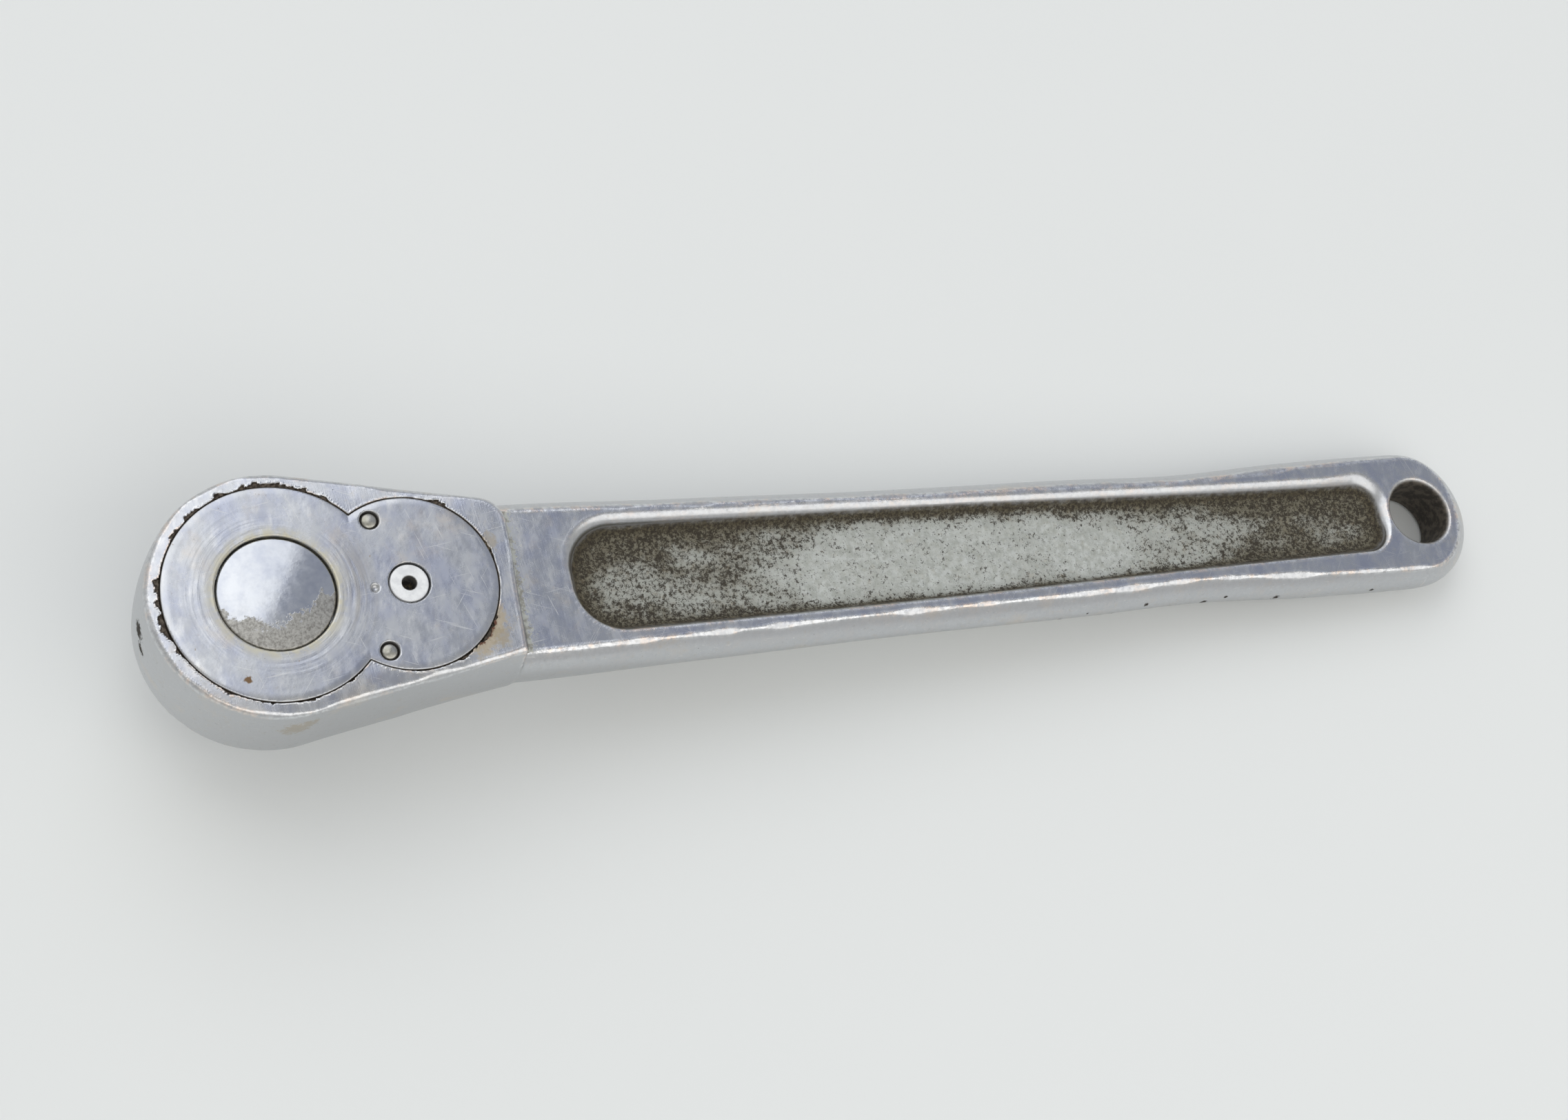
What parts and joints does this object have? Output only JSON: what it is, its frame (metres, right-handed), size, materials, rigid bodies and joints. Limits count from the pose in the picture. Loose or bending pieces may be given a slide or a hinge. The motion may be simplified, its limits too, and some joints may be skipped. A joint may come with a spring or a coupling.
{
  "type": "ratchet wrench",
  "caption": "Reversible ratchet wrench: round head with riveted cover plate, square drive with ball detent, thumb lever underneath, long recessed handle with a hanging hole.",
  "frame": {"origin": "on the drive axis, in the head's drive-side face, where the drive square leaves the head", "axes": "+Z along the drive axis towards the cover plate, +X along the handle to the hanging hole"},
  "size_m": [0.2526, 0.0418, 0.0344],
  "materials": {
    "forged_chrome": "worn chrome plate over forged steel, cross-brushed flats, grime in the recess",
    "cover_chrome": "worn and chipped chrome plate",
    "rivet_steel": "peened and worn",
    "drive_steel": "polished and scuffed",
    "ball_steel": "polished",
    "pawl_steel": "oiled hardened steel",
    "selector_steel": "bright turned steel",
    "lever_chrome": "worn chrome plate",
    "spring_steel": "drawn wire"
  },
  "bodies": {
    "housing": {"handle_body": "forged_chrome", "cover_plate": "cover_chrome", "cover_rivet_1": "rivet_steel", "cover_rivet_2": "rivet_steel"},
    "drive": {"drive_gear": "drive_steel", "drive_ball_spring": "spring_steel"},
    "detent": {"drive_ball": "ball_steel"},
    "selector": {"selector_shaft": "selector_steel", "selector_lever": "lever_chrome", "selector_pin": "selector_steel", "pawl_spring": "spring_steel"},
    "plunger": {"pawl_plunger": "selector_steel"},
    "pawl": {"pawl": "pawl_steel"}
  },
  "joints": [
    {"name": "drive_spin", "type": "hinge", "parent": "housing", "child": "drive", "pos_m": [0, 0, 0], "axis": [0, 0, 1], "continuous": true},
    {"name": "ball_press", "type": "slide", "parent": "drive", "child": "detent", "axis": [0, -1, 0], "range_m": [0, 0.00065], "stiffness_N_per_m": 800, "springref_m": -0.001, "deforming": ["drive_ball_spring"]},
    {"name": "lever_swing", "type": "hinge", "parent": "housing", "child": "selector", "pos_m": [0.0214, 0, 0], "axis": [0, 0, 1], "range_deg": [0, 56]},
    {"name": "plunger_press", "type": "slide", "parent": "selector", "child": "plunger", "axis": [0.8829, -0.4695, 0], "range_m": [0, 0.00105], "stiffness_N_per_m": 800, "springref_m": 0.0025, "deforming": ["pawl_spring"]},
    {"name": "pawl_rock", "type": "hinge", "parent": "housing", "child": "pawl", "pos_m": [0.0214, 0, 0], "axis": [0, 0, 1], "range_deg": [-14, 0]}
  ],
  "couplings": [
    {"joint": "pawl_rock", "follows": "lever_swing", "ratio": -0.25}
  ]
}
